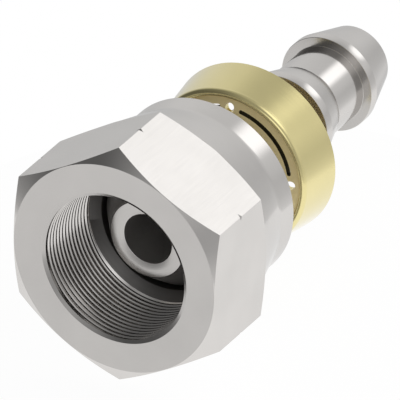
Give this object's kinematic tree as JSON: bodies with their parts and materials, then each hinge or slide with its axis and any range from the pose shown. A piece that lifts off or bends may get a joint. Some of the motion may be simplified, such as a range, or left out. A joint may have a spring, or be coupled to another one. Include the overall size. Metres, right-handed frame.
{
  "type": "hose nipple",
  "caption": "Straight push-on hose nipple: a free-turning threaded hexagon nut on a coned sealing nose, a pierced cap that takes the hose's cut end, and a barbed hose tail.",
  "frame": {"origin": "centre of the nut's front face, on the axis, where the port screws in", "axes": "+Y along the axis from the nut's front face to the tip of the hose tail; +Z through a corner of the hexagon at rest; +X to the right as seen from the front face's side"},
  "size_m": [0.027, 0.0567, 0.0312],
  "materials": {
    "steel": "satin turned plated steel",
    "brass": "satin yellow-passivated sheet metal"
  },
  "bodies": {
    "nipple": {"hose_nipple": "steel", "hose_cap": "brass"},
    "nut": {"swivel_nut": "steel"}
  },
  "joints": [
    {"name": "nut_swivel", "type": "hinge", "parent": "nipple", "child": "nut", "pos_m": [0, 0.018, 0], "axis": [0, 1, 0], "continuous": true}
  ]
}
